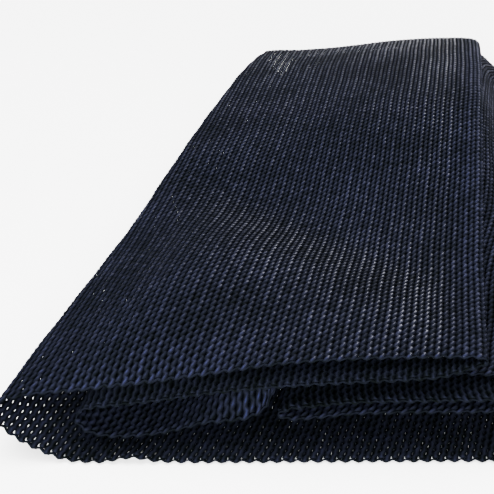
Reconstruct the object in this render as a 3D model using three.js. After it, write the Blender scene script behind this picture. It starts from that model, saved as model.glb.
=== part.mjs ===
// A length of warp-knit insect screen, folded back and forth and laid on a table, in millimetres.
// The cloth is one sheet. Its folds run away from the viewer, along Y and a little to the right,
// and its cut edges lie at the front and the back. Seen from the front, the sheet starts at the
// bottom right, runs left along the table, turns up and back at the big outer fold, crosses the top
// to the sharp right-hand fold, turns left again to the inner fold, right to a fold that lies past
// the others, left to a small fold in the middle, and ends at the right.
import * as THREE from 'three';

// The sheet
const THICKNESS = 1.0;
const LENGTH_OF_CUT = 235; // along the folds, from the front cut edge to the back one

// How the pile lies
const LEAN = 0.143; // the folds move this far to the right for each millimetre they run back
const TABLE = THICKNESS / 2; // height of the middle of the sheet where it lies on the table
const CENTRE = { x: -15.2, y: 114.35 }; // middle of the pile, which becomes the origin

// The section of the pile at its front cut edge, from the bottom layer's end to the last one's.
//   across  distance from the right-hand fold, left being negative
//   height  of the middle of the sheet
//   front   where the cut edge lies along Y, because the layers don't end flush
//   turn    how far the place moves to the right by the back, because the folds aren't parallel
//   lift    how far the cut edge alone is raised, or dropped if negative
const SECTION = [
  // Bottom layer, on the table, from its free end
  { across: 16, height: TABLE, front: -8, turn: 27, lift: 0 },
  { across: 4, height: TABLE, front: -8, turn: 25, lift: 0 },
  { across: -30, height: TABLE, front: -8.2, turn: 20, lift: 0 },
  { across: -60, height: TABLE, front: -8.4, turn: 17, lift: 0 },
  { across: -70, height: TABLE, front: -8.4, turn: 16, lift: 0.2 },
  { across: -76, height: TABLE, front: -8.4, turn: 15, lift: 1.2 },
  { across: -82, height: TABLE, front: -8.4, turn: 14, lift: 0.1 },
  { across: -87, height: TABLE, front: -8.3, turn: 17.4, lift: 0 },
  // Big outer fold, a scoop that closes to a narrow tip at the left
  { across: -90.5, height: 0.9, front: -8, turn: 17.4, lift: 0 },
  { across: -93.5, height: 1.9, front: -7.8, turn: 17.4, lift: 0 },
  { across: -96.5, height: 3.3, front: -7.5, turn: 17.4, lift: 0 },
  { across: -99.5, height: 5.0, front: -7.2, turn: 17.4, lift: 0 },
  { across: -102.3, height: 7.0, front: -6.8, turn: 17.4, lift: 0 },
  { across: -104.8, height: 9.2, front: -6, turn: 17.4, lift: 0 },
  { across: -106.3, height: 10.9, front: -4.6, turn: 17.4, lift: 0 },
  { across: -106, height: 12.1, front: -2.8, turn: 17.4, lift: 0 },
  { across: -103.5, height: 12.4, front: -1.4, turn: 17, lift: 0 },
  // Top layer
  { across: -98, height: 12.7, front: -0.2, turn: 15, lift: 0 },
  { across: -90, height: 13.3, front: 0, turn: 14, lift: 0 },
  { across: -81, height: 14.5, front: 0, turn: 12, lift: 0 },
  { across: -72, height: 15.7, front: 0, turn: 9.5, lift: 0 },
  { across: -58, height: 18.2, front: 0, turn: 7.5, lift: 0 },
  { across: -45, height: 20.4, front: 0, turn: 6, lift: 0 },
  { across: -30, height: 21.7, front: 0, turn: 4, lift: 0 },
  { across: -14, height: 22.2, front: 0, turn: 1.5, lift: 0 },
  { across: -5, height: 22.3, front: 0, turn: 0, lift: 0 },
  { across: -1.2, height: 22.1, front: -0.1, turn: 0, lift: 0 },
  // Sharp right-hand fold
  { across: 0.4, height: 21.3, front: -0.5, turn: 0, lift: 0 },
  { across: -1.2, height: 20.6, front: -1.1, turn: 0, lift: 0 },
  // Second layer
  { across: -5, height: 20.2, front: -2.4, turn: 0, lift: 0 },
  { across: -9, height: 19.6, front: -3.6, turn: 0.5, lift: 0 },
  { across: -16, height: 19.1, front: -4, turn: 1.5, lift: 0 },
  { across: -30, height: 18.3, front: -4, turn: 4, lift: 0 },
  { across: -45, height: 17.2, front: -4, turn: 6, lift: 0 },
  { across: -58, height: 15.7, front: -4, turn: 7.5, lift: 0 },
  { across: -72, height: 13.4, front: -4, turn: 9.5, lift: 0 },
  { across: -80, height: 12.2, front: -3.8, turn: 11, lift: 0 },
  { across: -85, height: 11.4, front: -3.5, turn: 12, lift: 0 },
  // Inner fold, a tunnel under the top layer
  { across: -88, height: 10.1, front: -3.2, turn: 13, lift: 0 },
  { across: -89.2, height: 7.8, front: -3, turn: 13, lift: 0 },
  { across: -87.6, height: 5.2, front: -3.2, turn: 13, lift: 0 },
  { across: -84, height: 4.0, front: -3.6, turn: 12.5, lift: 0 },
  // Third layer, which climbs to the second one at a pucker
  { across: -79, height: 3.9, front: -4, turn: 12, lift: 0 },
  { across: -72, height: 4.6, front: -4, turn: 11, lift: 0 },
  { across: -66, height: 6.4, front: -4, turn: 10, lift: -0.4 },
  { across: -61, height: 9.2, front: -4, turn: 9, lift: -1.6 },
  { across: -56, height: 12.0, front: -4, turn: 8, lift: -3.9 },
  { across: -51, height: 14.2, front: -3.4, turn: 7, lift: -5.6 },
  { across: -47.6, height: 15.0, front: -2.2, turn: 7, lift: -4.6 },
  { across: -45.6, height: 15.3, front: -0.4, turn: 6.5, lift: -1 },
  { across: -42, height: 15.5, front: 1.6, turn: 6, lift: 0 },
  { across: -30, height: 16.1, front: 2, turn: 5, lift: 0 },
  { across: -14, height: 16.7, front: 2, turn: 4, lift: 0 },
  { across: 2, height: 16.9, front: 1, turn: 4, lift: 0 },
  { across: 12, height: 16.8, front: -1, turn: 5, lift: 0 },
  { across: 18, height: 16.5, front: -2.6, turn: 6, lift: 0 },
  // Fold that lies furthest right
  { across: 20.4, height: 15.4, front: -3.6, turn: 6, lift: 0 },
  { across: 18, height: 14.3, front: -4.2, turn: 6, lift: 0 },
  // Fourth layer
  { across: 10, height: 14.3, front: -4.7, turn: 4, lift: 0 },
  { across: 0, height: 14.4, front: -5, turn: 2, lift: 0 },
  { across: -14, height: 14.2, front: -5, turn: 1, lift: 0 },
  { across: -28, height: 13.8, front: -5, turn: 0, lift: 0 },
  { across: -36, height: 12.9, front: -5, turn: 0, lift: 0 },
  { across: -42, height: 12.0, front: -5, turn: 0, lift: 0 },
  // Small fold in the middle
  { across: -44.4, height: 10.7, front: -5, turn: 0, lift: 0 },
  { across: -42, height: 9.5, front: -5, turn: 0, lift: 0 },
  // Last layer, to its free end
  { across: -36, height: 9.9, front: -5, turn: 0, lift: 0 },
  { across: -28, height: 10.9, front: -5, turn: 1, lift: 0 },
  { across: -14, height: 11.3, front: -5, turn: 5, lift: 0 },
  { across: 0, height: 11.4, front: -5, turn: 10, lift: 0 },
  { across: 12, height: 11.4, front: -5, turn: 14, lift: 0 },
];
const LIFT_FADES = 3.6; // distance from the cut edge over which a lift dies out

// The top layer's height along its front edge, which the layers below share out
const TOP_EDGE = [
  { across: -107, height: 12.1 },
  { across: -90, height: 13.3 },
  { across: -58, height: 18.2 },
  { across: -30, height: 21.7 },
  { across: 0, height: 22.1 },
];

// The soft relief of the top layer behind that edge
const RELIEF_STARTS = 5; // distance from the front edge over which it sets in
const HUMP = { across: -76, back: 39, height: 6, width: 22, length: 45 };
const TROUGH = { across: -44, back: 74, depth: 6.7, width: 56, near: 25, far: 66, skew: -0.86 };
const RIGHT_SWELL = { across: -2, back: 170, height: 9, width: 40, length: 80 };
const LEFT_RISE = { across: -100, back: 101, height: 11, width: 62, length: 13 };
const BACK_FALL = { from: 185, length: 50, depth: 4.6 };
const RIGHT_SAG = { across: 5, depth: 8, width: 2.2 }; // past the sharp fold the lower layers hang down

// How finely the sheet is faceted
const COLUMNS = 132;
const ROWS = [0, 1.5, 4, 8, 14, 22, 32, 44, 56, 66, 76, 88, 102, 118, 136, 156, 178, 200, 218, 229, 235];
const TURN_PER_STEP = 0.32; // radians of bend that are worth as much as a step of length
const LENGTH_PER_STEP = 9;

const bell = (t) => Math.exp(-t * t);
const step = (t) => 1 / (1 + Math.exp(-t));

// Height of the top layer above its front edge.
function relief(across, back) {
  const starts = 1 - Math.exp(-Math.max(back, 0) / RELIEF_STARTS);
  const hump = HUMP.height * bell((across - HUMP.across) / HUMP.width) * bell((back - HUMP.back) / HUMP.length);
  const troughBack = TROUGH.back + TROUGH.skew * (across - TROUGH.across);
  const troughLength = back < troughBack ? TROUGH.near : TROUGH.far;
  const trough = TROUGH.depth * bell((across - TROUGH.across) / TROUGH.width)
    * bell((back - troughBack) / troughLength);
  const swell = RIGHT_SWELL.height * bell((across - RIGHT_SWELL.across) / RIGHT_SWELL.width)
    * bell((back - RIGHT_SWELL.back) / RIGHT_SWELL.length);
  const rise = LEFT_RISE.height * bell((across - LEFT_RISE.across) / LEFT_RISE.width)
    * step((back - LEFT_RISE.back) / LEFT_RISE.length);
  const fall = BACK_FALL.depth * Math.max(0, (back - BACK_FALL.from) / BACK_FALL.length) ** 2;
  const sagging = step((across - RIGHT_SAG.across) / RIGHT_SAG.width);
  const lying = starts * (hump - trough + swell + rise) - fall;
  return THREE.MathUtils.lerp(lying, -RIGHT_SAG.depth * back / LENGTH_OF_CUT, sagging);
}

// Height of the top layer's front edge at a place across the pile.
function topEdge(across) {
  const last = TOP_EDGE.length - 1;
  const after = TOP_EDGE.findIndex((point) => point.across > across);
  if (after === 0) return TOP_EDGE[0].height;
  if (after < 0) return TOP_EDGE[last].height;
  const [from, to] = [TOP_EDGE[after - 1], TOP_EDGE[after]];
  return THREE.MathUtils.mapLinear(across, from.across, to.across, from.height, to.height);
}

// The section as two smooth curves that share one parameter.
const shape = new THREE.CatmullRomCurve3(
  SECTION.map((key) => new THREE.Vector3(key.across, key.height, key.front)),
  false,
  'centripetal',
);
const change = new THREE.CatmullRomCurve3(
  SECTION.map((key) => new THREE.Vector3(key.turn, key.lift, 0)),
  false,
  'catmullrom',
  0.5,
);

// The middle of the sheet: t runs along the section, and along from the front cut edge to the back.
function middle(t, along) {
  const section = shape.getPoint(t);
  const moved = change.getPoint(t);
  const across = section.x + moved.x * along / LENGTH_OF_CUT;
  const back = section.z + along;
  const height = Math.max(section.y, TABLE);
  const share = THREE.MathUtils.clamp((height - TABLE) / (topEdge(section.x) - TABLE), 0, 1);
  const settled = height + share * (2 - share) * relief(across, back);
  const lifted = Math.max(TABLE, settled + moved.y * bell(along / LIFT_FADES));
  return new THREE.Vector3(across + LEAN * back - CENTRE.x, back - CENTRE.y, lifted);
}

// Places along the section, closer together where it bends.
function placesAlong(count) {
  const fine = 4000;
  const points = Array.from({ length: fine + 1 }, (_, i) => {
    const point = shape.getPoint(i / fine);
    return new THREE.Vector2(point.x, point.y);
  });
  const cost = [0];
  for (let i = 1; i <= fine; i += 1) {
    const stride = points[i].clone().sub(points[i - 1]);
    const next = points[Math.min(i + 1, fine)].clone().sub(points[i]);
    const bend = i < fine ? Math.abs(Math.atan2(stride.cross(next), stride.dot(next))) : 0;
    cost.push(cost[i - 1] + stride.length() / LENGTH_PER_STEP + bend / TURN_PER_STEP);
  }
  const places = [];
  for (let k = 0, i = 0; k <= count; k += 1) {
    const target = cost[fine] * k / count;
    while (i < fine && cost[i + 1] < target) i += 1;
    places.push(Math.min(1, (i + (target - cost[i]) / (cost[i + 1] - cost[i])) / fine));
  }
  return places;
}

// The solid sheet: the middle surface moved half a thickness to each side, and closed at its rim.
function sheetGeometry() {
  const places = placesAlong(COLUMNS);
  const across = places.length;
  const deep = ROWS.length;
  const nudge = { section: 1e-4, along: 0.2 }; // how far to each side the surface's directions are taken
  const position = [];
  for (const side of [1, -1]) {
    for (const t of places) {
      for (const along of ROWS) {
        const alongSection = middle(Math.min(t + nudge.section, 1), along)
          .sub(middle(Math.max(t - nudge.section, 0), along));
        const alongFold = middle(t, along + nudge.along).sub(middle(t, along - nudge.along));
        const normal = alongFold.cross(alongSection).normalize();
        const point = middle(t, along).addScaledVector(normal, side * THICKNESS / 2);
        position.push(point.x, point.y, Math.max(point.z, 0));
      }
    }
  }
  const at = (side, i, j) => (side * across + i) * deep + j;
  const index = [];
  const quad = (a, b, c, d) => index.push(a, b, c, a, c, d);
  for (let i = 0; i < across - 1; i += 1) {
    for (let j = 0; j < deep - 1; j += 1) {
      quad(at(0, i, j), at(0, i, j + 1), at(0, i + 1, j + 1), at(0, i + 1, j));
      quad(at(1, i, j), at(1, i + 1, j), at(1, i + 1, j + 1), at(1, i, j + 1));
    }
    quad(at(0, i, 0), at(0, i + 1, 0), at(1, i + 1, 0), at(1, i, 0));
    quad(at(0, i + 1, deep - 1), at(0, i, deep - 1), at(1, i, deep - 1), at(1, i + 1, deep - 1));
  }
  for (let j = 0; j < deep - 1; j += 1) {
    quad(at(0, 0, j + 1), at(0, 0, j), at(1, 0, j), at(1, 0, j + 1));
    quad(at(0, across - 1, j), at(0, across - 1, j + 1), at(1, across - 1, j + 1), at(1, across - 1, j));
  }
  const geometry = new THREE.BufferGeometry();
  geometry.setAttribute('position', new THREE.Float32BufferAttribute(position, 3));
  geometry.setIndex(index);
  geometry.computeVertexNormals();
  return geometry;
}

const meshMaterial = new THREE.MeshStandardMaterial({ color: 0x171b28, roughness: 0.75, metalness: 0 });
const cloth = new THREE.Mesh(sheetGeometry(), meshMaterial);
cloth.name = 'screen_cloth';

const part = new THREE.Group();
part.add(cloth);

export default part;
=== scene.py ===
# %% [markdown]
# # A folded length of insect screen
# Insect screen of this kind is a warp-knit net: hundreds of thin polyester chains run side by side, and
# every stitch leans over to hold hands with the chain next to it. The length is folded back and forth
# and lies loose on a table. This script knits the net as real strands, lays it flat, folds it along the
# same section as the CAD model, and gives the yarn its dark navy finish. Lengths are in metres in
# Blender. Values that describe the knit and the folds are in millimetres, and MM turns them to metres.

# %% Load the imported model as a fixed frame
import math

import bpy
import numpy as np
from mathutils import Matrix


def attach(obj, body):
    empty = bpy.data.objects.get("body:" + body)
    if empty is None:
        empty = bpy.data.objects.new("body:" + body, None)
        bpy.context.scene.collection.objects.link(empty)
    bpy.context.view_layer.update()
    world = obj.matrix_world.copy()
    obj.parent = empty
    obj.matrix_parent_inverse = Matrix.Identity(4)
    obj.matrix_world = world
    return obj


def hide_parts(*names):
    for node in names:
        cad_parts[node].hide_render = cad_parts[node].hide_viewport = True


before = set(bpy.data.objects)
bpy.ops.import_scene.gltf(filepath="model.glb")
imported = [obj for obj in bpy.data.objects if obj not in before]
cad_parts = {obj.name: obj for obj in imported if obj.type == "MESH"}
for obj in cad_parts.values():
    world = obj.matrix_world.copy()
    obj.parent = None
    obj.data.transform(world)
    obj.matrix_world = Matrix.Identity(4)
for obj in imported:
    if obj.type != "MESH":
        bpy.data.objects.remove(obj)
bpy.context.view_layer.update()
MM = 0.001

# %% [markdown]
# ## Camera
# The camera stands in front of the pile and looks down on it by about 28 degrees. Its place and its lens
# come from the way the stitches get smaller towards the back of the photograph. The frame is 494 by 494
# pixels, and one pixel is a thousandth of the viewing distance. The small sideways shift stands for a
# photograph that was cropped off its middle: the pile runs out of it at the right.

# %% The photograph's camera
FRAME_PX = 494
FOCAL_PX = 1000
SENSOR_MM = 36
LOOK_DOWN = 28.2  # degrees
CAMERA_PLACE = (-0.0237, -0.29285, 0.1451)
SIDE_SHIFT = -0.12  # part of the frame's width
camera_data = bpy.data.cameras.new("camera")
camera_data.sensor_width = SENSOR_MM
camera_data.lens = FOCAL_PX * SENSOR_MM / FRAME_PX
camera_data.shift_x = SIDE_SHIFT
camera_data.clip_start = 0.01  # metres, well in front of the pile
camera = bpy.data.objects.new("camera", camera_data)
camera.location = CAMERA_PLACE
camera.rotation_euler = (math.radians(90 - LOOK_DOWN), 0, 0)
bpy.context.scene.collection.objects.link(camera)
bpy.context.scene.camera = camera
print("lens", round(camera_data.lens, 2), "mm")

# %% [markdown]
# ## The fold
# Seen from the front, the cloth is one long line that runs back and forth. A table of points along that
# line is easier to judge against a photograph than a simulation is, and it gives the same pile on every
# run. The table is the CAD model's own. A smooth curve goes through its points. Three more columns say
# where the cut edge lies, how the line moves on its way to the back, and where the edge curls up or down.

# %% The section of the pile at its front cut edge, in millimetres
# across  distance from the sharp right-hand fold, left being negative
# height  of the middle of the cloth above the table
# front   where the cut edge lies along Y, because the layers don't end flush
# turn    how far the place moves to the right by the back
# lift    how far the cut edge alone is raised, or dropped if negative
SECTION = np.array([
    # Bottom layer, on the table, from its free end
    (16, 0.5, -8, 27, 0), (4, 0.5, -8, 25, 0), (-30, 0.5, -8.2, 20, 0), (-60, 0.5, -8.4, 17, 0),
    (-70, 0.5, -8.4, 16, 0.2), (-76, 0.5, -8.4, 15, 1.2), (-82, 0.5, -8.4, 14, 0.1),
    (-87, 0.5, -8.3, 17.4, 0),
    # Big outer fold, a scoop that closes to a narrow tip at the left
    (-90.5, 0.9, -8, 17.4, 0), (-93.5, 1.9, -7.8, 17.4, 0), (-96.5, 3.3, -7.5, 17.4, 0),
    (-99.5, 5.0, -7.2, 17.4, 0), (-102.3, 7.0, -6.8, 17.4, 0), (-104.8, 9.2, -6, 17.4, 0),
    (-106.3, 10.9, -4.6, 17.4, 0), (-106, 12.1, -2.8, 17.4, 0), (-103.5, 12.4, -1.4, 17, 0),
    # Top layer
    (-98, 12.7, -0.2, 15, 0), (-90, 13.3, 0, 14, 0), (-81, 14.5, 0, 12, 0), (-72, 15.7, 0, 9.5, 0),
    (-58, 18.2, 0, 7.5, 0), (-45, 20.4, 0, 6, 0), (-30, 21.7, 0, 4, 0), (-14, 22.2, 0, 1.5, 0),
    (-5, 22.3, 0, 0, 0), (-1.2, 22.1, -0.1, 0, 0),
    # Sharp right-hand fold
    (0.4, 21.3, -0.5, 0, 0), (-1.2, 20.6, -1.1, 0, 0),
    # Second layer
    (-5, 20.2, -2.4, 0, 0), (-9, 19.6, -3.6, 0.5, 0), (-16, 19.1, -4, 1.5, 0), (-30, 18.3, -4, 4, 0),
    (-45, 17.2, -4, 6, 0), (-58, 15.7, -4, 7.5, 0), (-72, 13.4, -4, 9.5, 0), (-80, 12.2, -3.8, 11, 0),
    (-85, 11.4, -3.5, 12, 0),
    # Inner fold, a tunnel under the top layer
    (-88, 10.1, -3.2, 13, 0), (-89.2, 7.8, -3, 13, 0), (-87.6, 5.2, -3.2, 13, 0),
    (-84, 4.0, -3.6, 12.5, 0),
    # Third layer, which climbs to the second one at a pucker
    (-79, 3.9, -4, 12, 0), (-72, 4.6, -4, 11, 0), (-66, 6.4, -4, 10, -0.4), (-61, 9.2, -4, 9, -1.6),
    (-56, 12.0, -4, 8, -3.9), (-51, 14.2, -3.4, 7, -5.6), (-47.6, 15.0, -2.2, 7, -4.6),
    (-45.6, 15.3, -0.4, 6.5, -1), (-42, 15.5, 1.6, 6, 0), (-30, 16.1, 2, 5, 0), (-14, 16.7, 2, 4, 0),
    (2, 16.9, 1, 4, 0), (12, 16.8, -1, 5, 0), (18, 16.5, -2.6, 6, 0),
    # Fold that lies furthest right
    (20.4, 15.4, -3.6, 6, 0), (18, 14.3, -4.2, 6, 0),
    # Fourth layer
    (10, 14.3, -4.7, 4, 0), (0, 14.4, -5, 2, 0), (-14, 14.2, -5, 1, 0), (-28, 13.8, -5, 0, 0),
    (-36, 12.9, -5, 0, 0), (-42, 12.0, -5, 0, 0),
    # Small fold in the middle
    (-44.4, 10.7, -5, 0, 0), (-42, 9.5, -5, 0, 0),
    # Last layer, to its free end
    (-36, 9.9, -5, 0, 0), (-28, 10.9, -5, 1, 0), (-14, 11.3, -5, 5, 0), (0, 11.4, -5, 10, 0),
    (12, 11.4, -5, 14, 0),
], float)
RIGHT_FOLD_KEY = 27  # the row of the table at the sharp right-hand fold's tip
# The top layer's front edge, across and height, which the layers below share out
TOP_EDGE = np.array([(-107, 12.1), (-90, 13.3), (-58, 18.2), (-30, 21.7), (0, 22.1)])
TABLE = 0.5  # height of the middle of the cloth where it lies on the table
LENGTH_OF_CUT = 235  # along the folds, from the front cut edge to the back one
LEAN = 0.143  # the folds move this far to the right for each millimetre they run back
LIFT_FADES = 3.6  # distance from the cut edge over which a lift dies out
CENTRE = np.array([-15.2, 114.35, 0])  # middle of the pile, which becomes the origin
print("section of", len(SECTION), "points")

# %% [markdown]
# The top layer isn't flat behind its front edge: it rises at the left, dips into a slanting trough and
# rises again towards the back. A few smooth bumps added together give that, and each layer below takes
# its share of them by its height, so the layers settle into each other and never cross. The numbers are
# those of the CAD model.

# %% The relief of the top layer, in millimetres
RELIEF_STARTS = 5  # distance from the front edge over which it sets in
HUMP = {"across": -76, "back": 39, "height": 6, "width": 22, "length": 45}
TROUGH = {"across": -44, "back": 74, "depth": 6.7, "width": 56, "near": 25, "far": 66, "skew": -0.86}
RIGHT_SWELL = {"across": -2, "back": 170, "height": 9, "width": 40, "length": 80}
LEFT_RISE = {"across": -100, "back": 101, "height": 11, "width": 62, "length": 13}
BACK_FALL = {"from": 185, "length": 50, "depth": 4.6}
RIGHT_SAG = {"across": 5, "depth": 8, "width": 2.2}  # past the sharp fold the lower layers hang down


def bell(t):
    return np.exp(-t * t)


def smooth_step(t):
    return 1 / (1 + np.exp(-t))


def relief(across, back):
    """Height of the top layer above its front edge."""
    def over(bump):
        return bell((across - bump["across"]) / bump["width"])

    def along(bump):
        return bell((back - bump["back"]) / bump["length"])

    starts = 1 - np.exp(-np.maximum(back, 0) / RELIEF_STARTS)
    hump = HUMP["height"] * over(HUMP) * along(HUMP)
    trough_back = TROUGH["back"] + TROUGH["skew"] * (across - TROUGH["across"])
    trough_length = np.where(back < trough_back, TROUGH["near"], TROUGH["far"])
    trough = TROUGH["depth"] * over(TROUGH) * bell((back - trough_back) / trough_length)
    swell = RIGHT_SWELL["height"] * over(RIGHT_SWELL) * along(RIGHT_SWELL)
    rising = smooth_step((back - LEFT_RISE["back"]) / LEFT_RISE["length"])
    rise = LEFT_RISE["height"] * over(LEFT_RISE) * rising
    fall = BACK_FALL["depth"] * np.maximum(0, (back - BACK_FALL["from"]) / BACK_FALL["length"]) ** 2
    lying = starts * (hump - trough + swell + rise) - fall
    sagging = smooth_step((across - RIGHT_SAG["across"]) / RIGHT_SAG["width"])
    return lying * (1 - sagging) - RIGHT_SAG["depth"] * back / LENGTH_OF_CUT * sagging


for name, bump in (("hump", HUMP), ("trough", TROUGH)):
    print("top layer's relief at the", name, round(float(relief(bump["across"], bump["back"])), 1), "mm")


# %% A smooth curve through the rows of a table
LEAST_GAP = 1e-4  # keeps two equal points from dividing by zero


def through(points, t, even):
    """Catmull-Rom through the rows of points, for t from 0 to 1. even=False spaces it by distance."""
    last = len(points) - 1
    place = np.clip(t, 0, 1) * last
    i = np.minimum(place.astype(int), last - 1)
    part = (place - i)[:, None]
    b = points[i]
    c = points[i + 1]
    a = np.where((i > 0)[:, None], points[np.maximum(i - 1, 0)], 2 * b - c)
    d = np.where((i + 2 <= last)[:, None], points[np.minimum(i + 2, last)], 2 * c - b)
    if even:
        start = (c - a) / 2
        end = (d - b) / 2
    else:
        ab, bc, cd = (
            np.maximum(((q - p) ** 2).sum(1) ** 0.25, LEAST_GAP)[:, None]
            for p, q in ((a, b), (b, c), (c, d))
        )
        start = ((b - a) / ab - (c - a) / (ab + bc) + (c - b) / bc) * bc
        end = ((c - b) / bc - (d - b) / (bc + cd) + (d - c) / cd) * bc
    square = (3 * (c - b) - 2 * start - end) * part**2
    cube = (2 * (b - c) + start + end) * part**3
    return b + start * part + square + cube


def cloth_middle(t, along):
    """The middle of the cloth in millimetres: t runs along the section, along from the front to the back."""
    line = through(SECTION[:, :3], t, even=False)
    moved = through(SECTION[:, 3:], t, even=True)
    across = line[:, 0] + moved[:, 0] * along / LENGTH_OF_CUT
    back = line[:, 2] + along
    height = np.maximum(line[:, 1], TABLE)
    top = np.interp(line[:, 0], TOP_EDGE[:, 0], TOP_EDGE[:, 1])
    share = np.clip((height - TABLE) / (top - TABLE), 0, 1)
    settled = height + share * (2 - share) * relief(across, back)
    lifted = np.maximum(TABLE, settled + moved[:, 1] * bell(along / LIFT_FADES))
    return np.stack([across + LEAN * back, back, lifted], 1) - CENTRE


AT_RIGHT_FOLD = RIGHT_FOLD_KEY / (len(SECTION) - 1)
print("front edge of the right-hand fold:", cloth_middle(np.array([AT_RIGHT_FOLD]), 0.0))

# %% [markdown]
# Cloth folds without stretching, so a chain of stitches that lies 60 mm from the fold in the flat cloth
# stays 60 mm from it along the surface. For each row from front to back the script measures how far it is
# along the section from the sharp fold, and turns that round: from the distance to the place. The last
# row also tells where the fold that lies furthest right is on the flat cloth.

# %% From a place on the flat cloth to a place in the pile
ROWS = np.linspace(0, LENGTH_OF_CUT, 48)
FINE = np.linspace(0, 1, 5001)  # places along the section
GRID_STEP = 0.25
GRID = np.arange(-330, 330, GRID_STEP)  # distances from the sharp fold on the flat cloth
NUDGE_SECTION = 1e-4  # how far to each side the cloth's directions are taken, as a part of the section
NUDGE_ALONG = 0.2  # and in millimetres along the folds
place_of = np.empty((len(ROWS), len(GRID)))
for row, along in enumerate(ROWS):
    line = cloth_middle(FINE, along)
    steps = np.linalg.norm(np.diff(line, axis=0), axis=1)
    distance = np.concatenate([[0], np.cumsum(steps)])
    distance -= np.interp(AT_RIGHT_FOLD, FINE, distance)
    place_of[row] = np.interp(GRID, distance, FINE)
    if row in (0, len(ROWS) - 1):
        print("row", row, "runs from", round(distance[0], 1), "to", round(distance[-1], 1), "mm")
AT_FAR_FOLD = np.argmax(SECTION[:, 0]) / (len(SECTION) - 1)
FAR_FOLD = float(np.interp(AT_FAR_FOLD, FINE, distance))
print("the fold furthest right lies", round(FAR_FOLD, 1), "mm from the sharp one")


def fold(flat):
    """Moves points of the flat cloth, in millimetres, to the pile. Their third number is off the cloth."""
    column = np.clip((flat[:, 0] - GRID[0]) / GRID_STEP, 0, len(GRID) - 1.001)
    row = np.clip(flat[:, 1] / ROWS[1], 0, len(ROWS) - 1.001)
    i, j = column.astype(int), row.astype(int)
    u, v = column - i, row - j
    near = place_of[j, i] * (1 - u) + place_of[j, i + 1] * u
    far = place_of[j + 1, i] * (1 - u) + place_of[j + 1, i + 1] * u
    t = near * (1 - v) + far * v
    along = flat[:, 1]
    after = cloth_middle(np.minimum(t + NUDGE_SECTION, 1), along)
    before = cloth_middle(np.maximum(t - NUDGE_SECTION, 0), along)
    along_fold = cloth_middle(t, along + NUDGE_ALONG) - cloth_middle(t, along - NUDGE_ALONG)
    normal = np.cross(after - before, along_fold)
    normal /= np.linalg.norm(normal, axis=1)[:, None]
    return cloth_middle(t, along) + normal * flat[:, 2:3]


# %% [markdown]
# ## One stitch
# Each stitch of a chain is a leg that leans to the right and stands highest in its middle, and a short
# return to the left, where the next leg starts. Chains lie 1.5 mm apart and a stitch is 2.36 mm long.
# Neighbouring chains are half a stitch out of step, so their corners overlap and leave small slanted
# holes between them. Every second chain is a little fuller, which makes the stripes at a distance. A ring
# of four points drawn out along the leg is enough, because a hundred stitches in each of 380 chains have
# to stay light.

# %% Sizes of the knit, in millimetres
CHAIN_PITCH = 1.5
STITCH = 2.36
STITCHES = 99
CHAINS_PER_STRIP = 76
STRIP_WIDTH = CHAINS_PER_STRIP * CHAIN_PITCH
CLOTH_DEPTH = (STITCHES + 0.5) * STITCH
# The strand's rings along one stitch.
#   x, y    place in the flat cloth
#   z       height off the middle of the cloth
#   wide    half the strand's width
#   high    half its thickness
#   crest   how far its crest lies to the right of its middle
FULL_CHAIN = [
    {"x": -0.18, "y": 0.00, "z": -0.04, "wide": 0.87, "high": 0.28, "crest": -0.14},
    {"x": 0.00, "y": 0.86, "z": 0.06, "wide": 0.79, "high": 0.40, "crest": 0.00},
    {"x": 0.18, "y": 1.68, "z": 0.01, "wide": 0.87, "high": 0.34, "crest": 0.16},
    {"x": -0.18, "y": STITCH, "z": -0.04, "wide": 0.87, "high": 0.28, "crest": -0.14},
]
SLIM_CHAIN = [
    {"x": -0.18, "y": 0.00, "z": -0.08, "wide": 0.85, "high": 0.25, "crest": -0.14},
    {"x": 0.00, "y": 0.84, "z": 0.03, "wide": 0.77, "high": 0.35, "crest": 0.00},
    {"x": 0.20, "y": 1.72, "z": -0.03, "wide": 0.85, "high": 0.30, "crest": 0.16},
    {"x": -0.18, "y": STITCH, "z": -0.08, "wide": 0.85, "high": 0.25, "crest": -0.14},
]
print("a strip of cloth is", STRIP_WIDTH, "by", round(CLOTH_DEPTH, 2), "mm")


# %% Draw out a strand from ring to ring
ARRAY_WELD = 0.01  # ends of neighbouring copies that are this close become one, in millimetres
WELD = 0.02  # and so do points of the finished piece


def deselect():
    if bpy.context.object and bpy.context.object.mode != "OBJECT":
        bpy.ops.object.mode_set(mode="OBJECT")
    bpy.ops.object.select_all(action="DESELECT")


def start_ring(name, rotation):
    """A ring of four points about the origin, open for editing."""
    deselect()
    bpy.ops.mesh.primitive_circle_add(vertices=4, radius=MM, location=(0, 0, 0), rotation=rotation)
    made = bpy.context.object
    made.name = name
    bpy.ops.object.transform_apply(location=True, rotation=True, scale=True)
    bpy.ops.object.mode_set(mode="EDIT")
    bpy.ops.mesh.select_all(action="SELECT")
    return made


def lean_crest(piece, first, move):
    """Moves the highest of the four points from first sideways."""
    bpy.ops.mesh.select_all(action="DESELECT")
    bpy.ops.object.mode_set(mode="OBJECT")
    ring = [piece.data.vertices[i] for i in range(first, first + 4)]
    max(ring, key=lambda v: v.co.z).select = True
    bpy.ops.object.mode_set(mode="EDIT")
    bpy.ops.transform.translate(value=(move, 0, 0))


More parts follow.
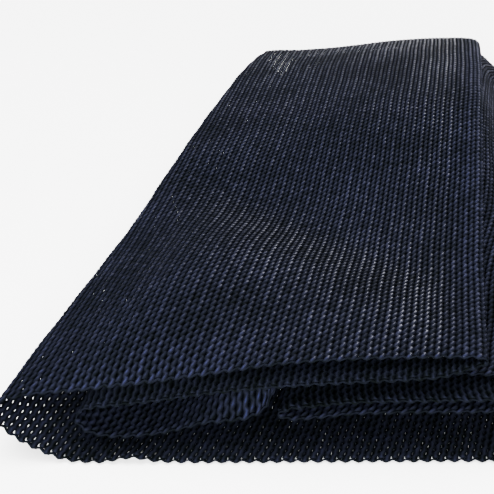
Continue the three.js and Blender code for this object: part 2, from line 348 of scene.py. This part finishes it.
def strand(name, rings, offset):
    """A strand through the rings, moved by offset in the flat cloth, with open ends."""
    first = rings[0]
    centre = np.array([first["x"] + offset[0], first["y"] + offset[1], first["z"]]) * MM
    made = start_ring(name, (math.pi / 2, 0, 0))
    bpy.ops.transform.resize(value=(first["wide"], 1, first["high"]), center_override=(0, 0, 0))
    bpy.ops.transform.translate(value=tuple(centre))
    for before, after in zip(rings, rings[1:]):
        move = np.array([after[k] - before[k] for k in "xyz"]) * MM
        centre = centre + move
        bpy.ops.mesh.extrude_region_move(TRANSFORM_OT_translate={"value": tuple(move)})
        bpy.ops.transform.resize(
            value=(after["wide"] / before["wide"], 1, after["high"] / before["high"]),
            center_override=tuple(centre),
        )
    for number, ring in enumerate(rings):
        lean_crest(made, 4 * number, ring["crest"] * MM)
    bpy.ops.object.mode_set(mode="OBJECT")
    return made


def array(piece, count, offset):
    """Repeats a piece and welds the ends that meet."""
    modifier = piece.modifiers.new("repeat", "ARRAY")
    modifier.count = count
    modifier.use_relative_offset = False
    modifier.use_constant_offset = True
    modifier.constant_offset_displace = offset
    modifier.use_merge_vertices = True
    modifier.merge_threshold = ARRAY_WELD * MM
    bpy.context.view_layer.objects.active = piece
    bpy.ops.object.modifier_apply(modifier=modifier.name)


def close(piece):
    """Welds what meets, closes open ends and turns all faces outwards."""
    deselect()
    piece.select_set(True)
    bpy.context.view_layer.objects.active = piece
    bpy.ops.object.mode_set(mode="EDIT")
    bpy.ops.mesh.select_all(action="SELECT")
    bpy.ops.mesh.remove_doubles(threshold=WELD * MM)
    bpy.ops.mesh.fill_holes(sides=4)
    bpy.ops.mesh.select_all(action="SELECT")
    bpy.ops.mesh.normals_make_consistent(inside=False)
    bpy.ops.object.mode_set(mode="OBJECT")


full_chain = strand("full_chain", FULL_CHAIN, (0, 0))
slim_chain = strand("slim_chain", SLIM_CHAIN, (CHAIN_PITCH, STITCH / 2))
for chain in (full_chain, slim_chain):
    array(chain, STITCHES, (0, STITCH * MM, 0))
    close(chain)
    print(chain.name, len(chain.data.vertices), "points")

# %% [markdown]
# ## The edge course
# The cut edges are held by one last course: a thin strand that runs across the cloth from chain to chain,
# out round the end of each full chain and in to the end of each slim one. It gives the cut edges their
# small scallops.

# %% The strand across each cut edge
# along   place across the cloth
# back    place from the edge
EDGE_COURSE = [
    {"along": -0.75, "back": 0.50}, {"along": -0.10, "back": 0.05},
    {"along": 0.75, "back": 0.50}, {"along": 1.50, "back": 0.92}, {"along": 2.25, "back": 0.50},
]
EDGE_WIDE = 0.45  # half its width
EDGE_HIGH = 0.17  # half its thickness
EDGE_Z = -0.02  # height off the middle of the cloth


def edge_strand(name, points):
    """A strand through points across the cloth, with open ends."""
    first = points[0]
    made = start_ring(name, (0, math.pi / 2, 0))
    bpy.ops.transform.resize(value=(1, EDGE_WIDE, EDGE_HIGH), center_override=(0, 0, 0))
    bpy.ops.transform.translate(value=(first["along"] * MM, first["back"] * MM, EDGE_Z * MM))
    for before, after in zip(points, points[1:]):
        move = ((after["along"] - before["along"]) * MM, (after["back"] - before["back"]) * MM, 0)
        bpy.ops.mesh.extrude_region_move(TRANSFORM_OT_translate={"value": move})
    bpy.ops.mesh.select_all(action="SELECT")
    bpy.ops.mesh.normals_make_consistent(inside=False)
    bpy.ops.object.mode_set(mode="OBJECT")
    return made


front_edge = edge_strand("front_edge", EDGE_COURSE)
back_course = [
    {"along": point["along"] + CHAIN_PITCH, "back": CLOTH_DEPTH - point["back"]} for point in EDGE_COURSE
]
back_edge = edge_strand("back_edge", back_course)
deselect()
for piece in (full_chain, slim_chain, front_edge, back_edge):
    piece.select_set(True)
bpy.context.view_layer.objects.active = full_chain
bpy.ops.object.join()
pair = bpy.context.object
pair.name = "chain_pair"
print("a pair of chains has", len(pair.data.polygons) * 2, "triangles")

# %% [markdown]
# ## The flat cloth and its fold
# The pair of chains is repeated 38 times to a strip of cloth, and five strips side by side are the whole
# width. One strip of net stays light enough to open in any program. Each strip keeps the flat place of
# all its points in an attribute, so that the yarn's pattern follows the cloth and not the room. Then each
# point moves to its place in the pile.

# %% Small unevenness of a loose knit, in millimetres
SLOW_WANDER = 0.10  # how far chains wander sideways over many stitches
QUICK_WANDER = 0.06  # and over a few
STAND = 0.05  # how far single stitches stand up or sink


def uneven_knit(flat):
    """Shifts points of the flat cloth by waves that don't repeat within the pile."""
    x, y = flat[:, 0], flat[:, 1]
    slow = SLOW_WANDER * np.sin(y / 11 + 1.7 * np.sin(x / 19))
    quick = QUICK_WANDER * np.sin(y / 4.3 + x / 7.1)
    wander = slow + quick
    stand = STAND * np.sin(2.3 * x + 1.9 * np.sin(0.9 * y)) * np.sin(1.7 * y + 1.1 * np.sin(0.6 * x))
    moved = flat.copy()
    moved[:, 0] += wander
    moved[:, 2] += stand
    return moved


print("chains wander by up to", round(SLOW_WANDER + QUICK_WANDER, 2), "mm")


# %% Knit, fold and name the five strips
STRIPS = [
    "screen_bottom_fold", "screen_outer_and_top", "screen_top_and_second",
    "screen_inner_and_third", "screen_lower_folds",
]
CLOTH_START = -237.0  # the bottom layer's free end, from the sharp right-hand fold
array(pair, CHAINS_PER_STRIP // 2, (2 * CHAIN_PITCH * MM, 0, 0))
close(pair)
strips = []
for number, name in enumerate(STRIPS):
    deselect()
    strip = pair.copy()
    strip.data = pair.data.copy()
    bpy.context.scene.collection.objects.link(strip)
    strip.name = name
    strip.data.name = name
    count = len(strip.data.vertices)
    flat = np.empty(count * 3)
    strip.data.vertices.foreach_get("co", flat)
    flat = flat.reshape(-1, 3) / MM
    flat[:, 0] += CLOTH_START + number * STRIP_WIDTH + CHAIN_PITCH / 2
    attribute = strip.data.attributes.new("flat_place", "FLOAT_VECTOR", "POINT")
    attribute.data.foreach_set("vector", (flat * MM).ravel())
    strip.data.vertices.foreach_set("co", (fold(uneven_knit(flat)) * MM).ravel())
    strip.data.polygons.foreach_set("use_smooth", np.ones(len(strip.data.polygons), bool))
    strip.data.update()
    strips.append(strip)
    print(name, count, "points,", sum(len(p.vertices) - 2 for p in strip.data.polygons), "triangles")
bpy.data.objects.remove(pair)


# %% [markdown]
# ## Yarn
# The yarn is multifilament polyester, dyed navy in the melt. Its colour is painted nearly black in the gaps,
# which is painted shade, and a soft bluish shine shows where light runs along the filaments. The shine is
# broad, because hundreds of fine filaments share it. Fine filaments are about 0.02 mm thick, far too small
# to show, so they are drawn as streaks of 0.12 mm that lean with the twist.

# %% Colours and helpers for nodes
def linear(hex_colour):
    """An sRGB hex colour as Blender's linear RGBA."""
    values = [int(hex_colour[i : i + 2], 16) / 255 for i in (1, 3, 5)]
    return [v / 12.92 if v <= 0.04045 else ((v + 0.055) / 1.055) ** 2.4 for v in values] + [1]


def add(tree, kind, settings=None, values=None, links=None):
    """A node with its settings, its sockets' values, and links from (node, socket name)."""
    node = tree.nodes.new(kind)
    for key, value in (settings or {}).items():
        setattr(node, key, value)
    for key, value in (values or {}).items():
        node.inputs[key].default_value = value
    for key, (source, socket) in (links or {}).items():
        tree.links.new(source.outputs[socket], node.inputs[key])
    return node


def ramp(tree, source, start, end, low, high):
    """Turns source, a (node, socket name), from start and end to low and high, and holds it there."""
    values = {"From Min": start, "From Max": end, "To Min": low, "To Max": high}
    return add(tree, "ShaderNodeMapRange", values=values, links={"Value": source})


def calc(tree, operation, *terms):
    """A Math node. Each term is a number or a (node, socket name)."""
    numbers = {place: term for place, term in enumerate(terms) if not isinstance(term, tuple)}
    links = {place: term for place, term in enumerate(terms) if isinstance(term, tuple)}
    return add(tree, "ShaderNodeMath", {"operation": operation}, numbers, links)


def cloudy(tree, source, scale, detail):
    """Soft noise, with 1/scale metres from one patch to the next."""
    values = {"Scale": scale, "Detail": detail, "Roughness": 0.5}
    return add(tree, "ShaderNodeTexNoise", values=values, links={"Vector": source})


print("half white in sRGB is", round(linear("#808080")[0], 3), "in linear light")

# %% Navy multifilament polyester, warp-knit and matt
# YARN_DARK is the painted shade of the sunk yarn, and YARN_LIGHT is the colour of the lit crests.
YARN_DARK = "#030404"
YARN_LIGHT = "#0f101a"
YARN_SHINE = "#6877ff"
# At the sharp fold a band of painted sheen is added to the colour, and its middle is set here.
SHEEN_BAND_AT = -3.2  # middle of the bright band, from the sharp fold on the flat cloth, in millimetres
yarn = bpy.data.materials.new("navy_polyester_yarn")
yarn.use_nodes = True
tree = yarn.node_tree
shader = tree.nodes["Principled BSDF"]
flat_place = add(tree, "ShaderNodeAttribute", {"attribute_name": "flat_place"})
# X is the distance from the sharp fold, and Z the height off the middle of the cloth.
flat_parts = add(tree, "ShaderNodeSeparateXYZ", links={"Vector": (flat_place, "Vector")})
# The legs stand up in the light. The yarn between them lies packed and sunk, and its colour is painted
# almost black by its height off the middle of the cloth: painted shade between the legs. On the layers that
# show the cloth's other face, the lowest yarn is the one that stands up.
upper = ramp(tree, (flat_parts, "Z"), 0.05 * MM, 0.50 * MM, 0.12, 0.9)
under = ramp(tree, (flat_parts, "Z"), -0.15 * MM, -0.34 * MM, 0.0, 0.5)
raised = calc(tree, "MAXIMUM", (upper, "Result"), (under, "Result"))
# Over about 6 mm about the sharp fold the colour is painted lighter and the crests mirror a little more: a
# painted sheen, one soft bright band where the rounded fold catches the light.
from_fold = calc(tree, "ADD", (flat_parts, "X"), -SHEEN_BAND_AT * MM)
off_fold = calc(tree, "ABSOLUTE", (from_fold, "Value"))
painted_sheen_band = ramp(tree, (off_fold, "Value"), 1.5 * MM, 5 * MM, 0.09, 0.0)
painted_shade_and_sheen = calc(tree, "ADD", (raised, "Value"), (painted_sheen_band, "Result"))
# Dye and wear vary over about 25 mm, which gives the cloth its cloudy look.
cloud = cloudy(tree, (flat_place, "Vector"), 40, 2)
# Each stitch takes the light a little differently: patches of about one stitch.
stitch_change = cloudy(tree, (flat_place, "Vector"), 420, 1)
patches = add(
    tree, "ShaderNodeMix", {"data_type": "FLOAT"}, {"Factor": 0.6},
    {"A": (cloud, "Fac"), "B": (stitch_change, "Fac")},
)
uneven = ramp(tree, (patches, "Result"), 0.3, 0.7, -0.26, 0.26)
shade = calc(tree, "ADD", (painted_shade_and_sheen, "Value"), (uneven, "Result"))
# The ramp turns the painted shade, the painted sheen band and the random tone into the base colour.
colour = add(tree, "ShaderNodeValToRGB", links={"Fac": (shade, "Value")})
colour.color_ramp.elements[0].color = linear(YARN_DARK)
colour.color_ramp.elements[1].color = linear(YARN_LIGHT)
tree.links.new(colour.outputs["Color"], shader.inputs["Base Color"])
# Filaments: streaks of 0.12 by 1.1 mm at the twist's slant, which roughen the strands' faces.
turned = add(
    tree, "ShaderNodeMapping", {"vector_type": "POINT"},
    {"Rotation": (0, 0, math.radians(-24)), "Scale": (8300, 900, 4000)},
    {"Vector": (flat_place, "Vector")},
)
filaments = cloudy(tree, (turned, "Vector"), 1, 1)
bump = add(
    tree, "ShaderNodeBump", values={"Strength": 0.35, "Distance": 0.05 * MM},
    links={"Height": (filaments, "Fac")},
)
tree.links.new(bump.outputs["Normal"], shader.inputs["Normal"])
# Crests are smooth and a little lustrous, and sunk yarn is fuzzy. Near the two folds at the right the
# flat yarn spreads the light, so its shine is broad.
pressed_sharp = ramp(tree, (off_fold, "Value"), 2 * MM, 9 * MM, 0.5, 0.0)
from_far_fold = calc(tree, "SUBTRACT", (flat_parts, "X"), FAR_FOLD * MM)
off_far_fold = calc(tree, "ABSOLUTE", (from_far_fold, "Value"))
pressed_far = ramp(tree, (off_far_fold, "Value"), 22 * MM, 30 * MM, 0.6, 0.0)
pressed = calc(tree, "MAXIMUM", (pressed_sharp, "Result"), (pressed_far, "Result"))
lustre = calc(tree, "SUBTRACT", (raised, "Value"), (pressed, "Value"))
gloss = ramp(tree, (lustre, "Value"), 0.1, 0.9, 0.85, 0.27)
tree.links.new(gloss.outputs["Result"], shader.inputs["Roughness"])
# The sunk yarn is shaded by its neighbours, so only the crests mirror the room.
mirror = ramp(tree, (shade, "Value"), 0.48, 0.95, 0.004, 0.12)
tree.links.new(mirror.outputs["Result"], shader.inputs["Specular IOR Level"])
shader.inputs["IOR"].default_value = 1.57
shader.inputs["Specular Tint"].default_value = linear(YARN_SHINE)
print("material", yarn.name, "with", len(tree.nodes), "nodes")

# %% Tell the frame what each strip is
for strip in strips:
    strip.data.materials.clear()
    strip.data.materials.append(yarn)
    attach(strip, "root")
    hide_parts("screen_cloth")
print(len(strips), "strips of", STRIP_WIDTH, "mm")

# %% [markdown]
# ## Floor and light
# The pile lies on a plain white table. The room is bright overhead and dark near the floor, so that the
# table turns white while the yarn, which mirrors the far side of the room, stays dark. A window stands
# low behind the pile and to the right: slopes that fall away from the viewer shine, and slopes that face
# the viewer don't, which draws the trough. A weak lamp straight behind rounds off the back, and a lamp in
# front fills the gaps between the layers.

# %% Floor
FLOOR_RADIUS = 6.0
deselect()
bpy.ops.mesh.primitive_circle_add(vertices=96, radius=FLOOR_RADIUS, fill_type="NGON", location=(0, 0, 0))
floor = bpy.context.object
floor.name = "floor"
# Matt board scatters the light evenly, so that the pile leaves only a soft shadow.
board = bpy.data.materials.new("white_matt_board")
board.use_nodes = True
board_shader = board.node_tree.nodes["Principled BSDF"]
board_shader.inputs["Base Color"].default_value = linear("#f7f7f7")
board_shader.inputs["Roughness"].default_value = 0.9
board_shader.inputs["Specular IOR Level"].default_value = 0.1
floor.data.materials.append(board)
print("floor of", 2 * FLOOR_RADIUS, "m across")

# %% The room's light
CEILING_STRENGTH = 21.0
WALL_STRENGTH = 0.2
world = bpy.data.worlds.new("room")
world.use_nodes = True
sky = world.node_tree
sky.nodes["Background"].inputs["Color"].default_value = linear("#ffffff")
# The ceiling is bright, and from about 45 degrees down the room is dark.
direction = add(sky, "ShaderNodeTexCoord")
up = add(sky, "ShaderNodeSeparateXYZ", links={"Vector": (direction, "Generated")})
strength = ramp(sky, (up, "Z"), 0.7, 1.0, WALL_STRENGTH, CEILING_STRENGTH)
sky.links.new(strength.outputs["Result"], sky.nodes["Background"].inputs["Strength"])
bpy.context.scene.world = world
print("ceiling", CEILING_STRENGTH, "and walls", WALL_STRENGTH)

# %% Soft lamps
# place   of the lamp, in metres
# target  the point that it looks at
# size    of its square face, in metres
# power   in watts
LAMPS = {
    "window_softbox": {"place": (1.15, 2.65, 0.85), "target": (0, 0, 0), "size": 0.9, "power": 124},
    "back_softbox": {"place": (-0.3, 3.0, 0.8), "target": (0, 0, 0), "size": 1.0, "power": 8},
    "front_softbox": {"place": (-0.1, -1.3, 0.35), "target": (0, -0.1, 0), "size": 0.9, "power": 190},
}
for name, row in LAMPS.items():
    data = bpy.data.lights.new(name, "AREA")
    data.size = row["size"]
    data.energy = row["power"]
    lamp = bpy.data.objects.new(name, data)
    lamp.location = row["place"]
    aim = np.array(row["target"]) - np.array(row["place"])
    tilt = math.acos(-aim[2] / np.linalg.norm(aim))
    lamp.rotation_euler = (tilt, 0, math.atan2(-aim[0], aim[1]))
    bpy.context.scene.collection.objects.link(lamp)
    print(name, row["power"], "W")
